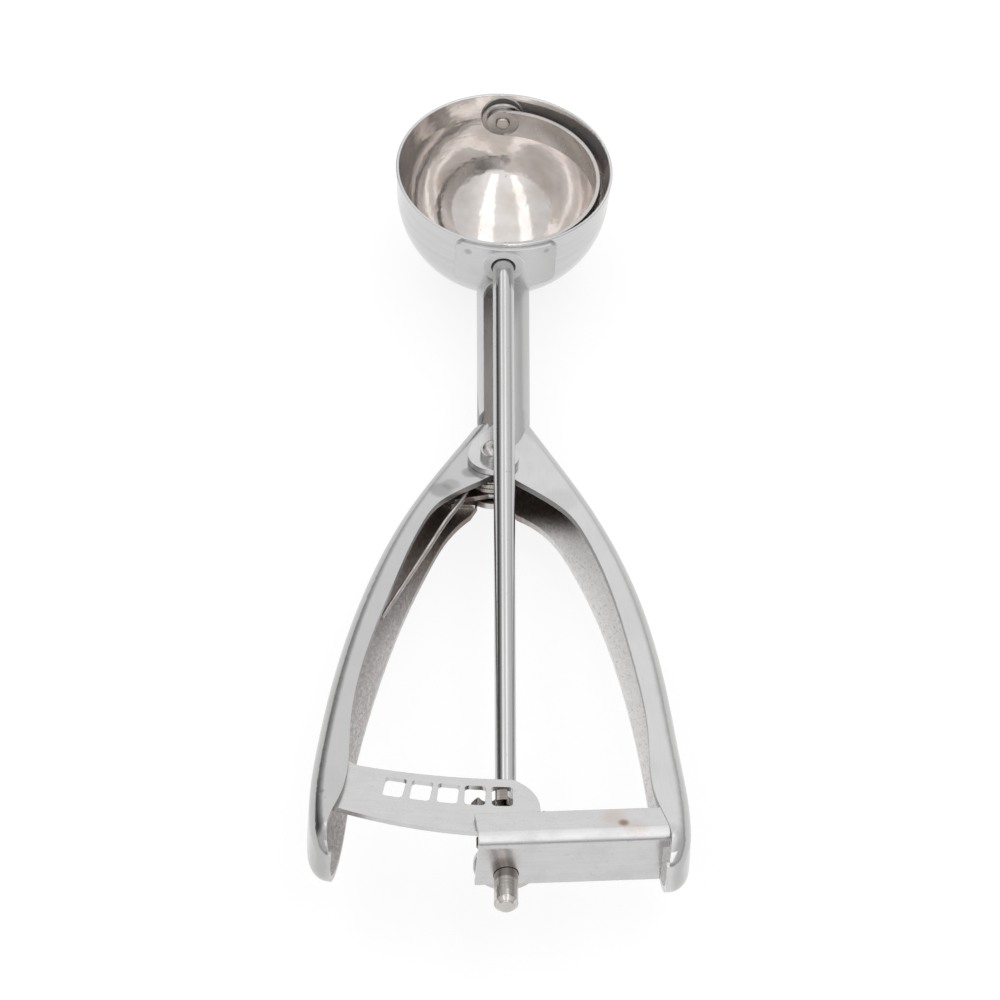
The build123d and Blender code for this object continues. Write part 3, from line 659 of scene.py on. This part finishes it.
def makeStudio():
    world = bpy.data.worlds.new("Studio")
    bpy.context.scene.world = world
    world.use_nodes = True
    tree = world.node_tree
    tree.nodes.clear()
    place = addNode(tree, "ShaderNodeTexCoord")
    ray, seen = seenDirectly(tree)
    direction = place.outputs["Generated"]
    parts = addNode(tree, "ShaderNodeSeparateXYZ", {"Vector": direction})
    aside = addNode(tree, "ShaderNodeMath", {0: parts.outputs["X"]}, operation="ABSOLUTE")
    low, high = studio["sides"]
    side = addNode(
        tree, "ShaderNodeMapRange",
        {"Value": aside.outputs["Value"], 1: low, 2: high, 3: 0.0, 4: studio["side"]},
        interpolation_type="SMOOTHSTEP",
    )
    rise = addNode(
        tree, "ShaderNodeMath", {0: parts.outputs["Z"], 1: studio["seamHeight"]},
        operation="SUBTRACT",
    )
    apart = addNode(tree, "ShaderNodeMath", {0: rise.outputs["Value"]}, operation="ABSOLUTE")
    seam = addNode(
        tree, "ShaderNodeMapRange",
        {"Value": apart.outputs["Value"], 1: 0.0, 2: studio["seamReach"], 3: studio["seam"],
         4: 0.0},
        interpolation_type="SMOOTHSTEP",
    )
    grey = addNode(
        tree, "ShaderNodeMath", {0: side.outputs["Result"], 1: seam.outputs["Result"]},
        operation="ADD",
    )
    front = overlap(
        tree, along(tree, direction, -forward, *studio["fronts"]),
        along(
            tree, direction, Vector((0, 0, 1)), *studio["frontRise"], studio["front"], 0.0
        ),
    )
    panel = addNode(
        tree, "ShaderNodeVectorMath", {0: direction, 1: Vector(studio["card"]).normalized()},
        operation="DOT_PRODUCT",
    )
    low, high = studio["cardSpread"]
    card = addNode(
        tree, "ShaderNodeMapRange",
        {"Value": panel.outputs["Value"], 1: low, 2: high, 3: 0.0, 4: studio["cardDepth"]},
    )
    darkest = grey.outputs["Value"]
    for other in (card.outputs["Result"], front):
        most = addNode(tree, "ShaderNodeMath", {0: darkest, 1: other}, operation="MAXIMUM")
        darkest = most.outputs["Value"]
    bright = addNode(tree, "ShaderNodeMath", {0: 1.0, 1: darkest}, operation="SUBTRACT")
    mirrored = layered(
        tree, "FLOAT", 1.0, (ray.outputs["Is Glossy Ray"], 1.0, bright.outputs["Value"])
    )
    direct = addNode(tree, "ShaderNodeBackground", {"Color": white, "Strength": mirrored})
    soft = addNode(tree, "ShaderNodeBackground", {"Color": white, "Strength": studio["soft"]})
    mix = addNode(
        tree, "ShaderNodeMixShader",
        {"Fac": seen, 1: soft.outputs["Background"], 2: direct.outputs["Background"]},
    )
    addNode(tree, "ShaderNodeOutputWorld", {"Surface": mix.outputs["Shader"]})


makeStudio()
for name, lamp in lamps.items():
    light = bpy.data.lights.new(name, "AREA")
    light.shape = "RECTANGLE"
    light.size = lamp["width"]
    light.size_y = lamp["length"]
    light.energy = lamp["power"]
    holder = bpy.data.objects.new(name, light)
    bpy.context.scene.collection.objects.link(holder)
    holder.visible_camera = False
    holder.location = Vector(lamp["at"]) + Vector(view["centre"])
print("studio")


def makeCamera():
    right = Vector(view["right"]).normalized()
    tip = math.radians(view["elevation"])
    up = Vector((0.0, math.sin(tip), math.cos(tip)))
    up = (up - right * up.dot(right)).normalized()
    back = right.cross(up)
    camera = bpy.data.cameras.new("Camera")
    camera.lens = view["lens"]
    camera.sensor_width = view["sensor"]
    distance = view["frameWidth"] / (camera.sensor_width / camera.lens)
    camera.clip_start = distance / 2
    camera.clip_end = distance * 2
    camera.dof.use_dof = False
    eye = bpy.data.objects.new("Camera", camera)
    bpy.context.scene.collection.objects.link(eye)
    turned = Matrix((right, up, back)).transposed().to_4x4()
    eye.matrix_world = Matrix.Translation(Vector(view["centre"]) + back * distance) @ turned
    bpy.context.scene.camera = eye


makeCamera()
bpy.context.scene.view_settings.view_transform = "Standard"
print("camera")
